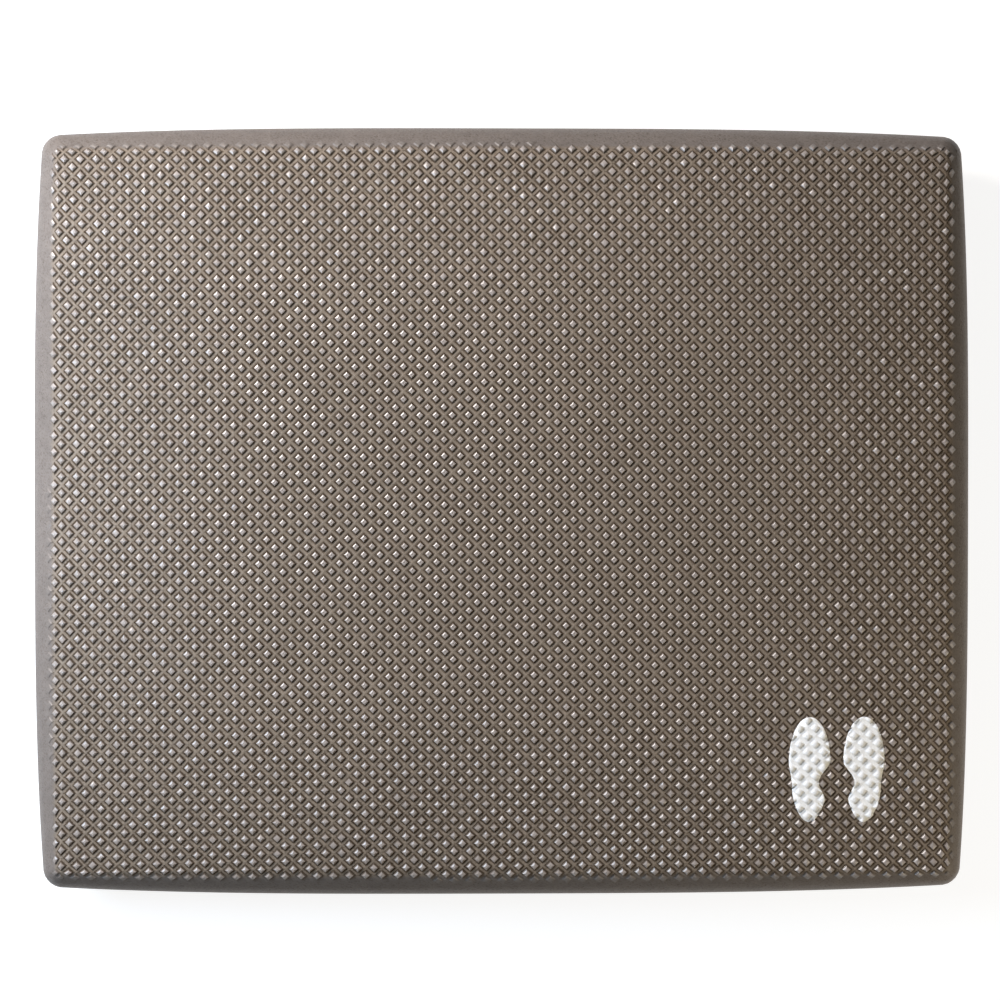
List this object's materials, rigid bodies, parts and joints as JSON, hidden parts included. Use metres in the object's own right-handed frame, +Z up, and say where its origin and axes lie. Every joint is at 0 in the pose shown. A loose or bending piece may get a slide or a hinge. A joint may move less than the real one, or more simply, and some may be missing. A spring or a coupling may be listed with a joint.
{
  "type": "balance pad",
  "caption": "Rectangular soft foam pad with crowned, pimpled faces and bulged, rounded sides, to stand or kneel on for balance exercises.",
  "frame": {"origin": "on the floor, under the middle of the pad, at the bottom centre of its box", "axes": "+X along the pad's length, +Y across its width, +Z up from the floor through its thickness"},
  "size_m": [0.5, 0.41, 0.06],
  "materials": {
    "embossed_skin": "closed-cell foam skin, grey-brown, satin, pressed with a close pattern of pimples and fine ribs",
    "core_foam": "cut closed-cell foam, matt, fine cells",
    "print_ink": "white screen-printed ink, matt"
  },
  "bodies": {
    "root": {"top_skin": "embossed_skin", "bottom_skin": "embossed_skin", "core_ply_upper": "core_foam", "core_ply_middle": "core_foam", "core_ply_lower": "core_foam", "printed_sole_left": "print_ink", "printed_sole_right": "print_ink"}
  },
  "joints": []
}
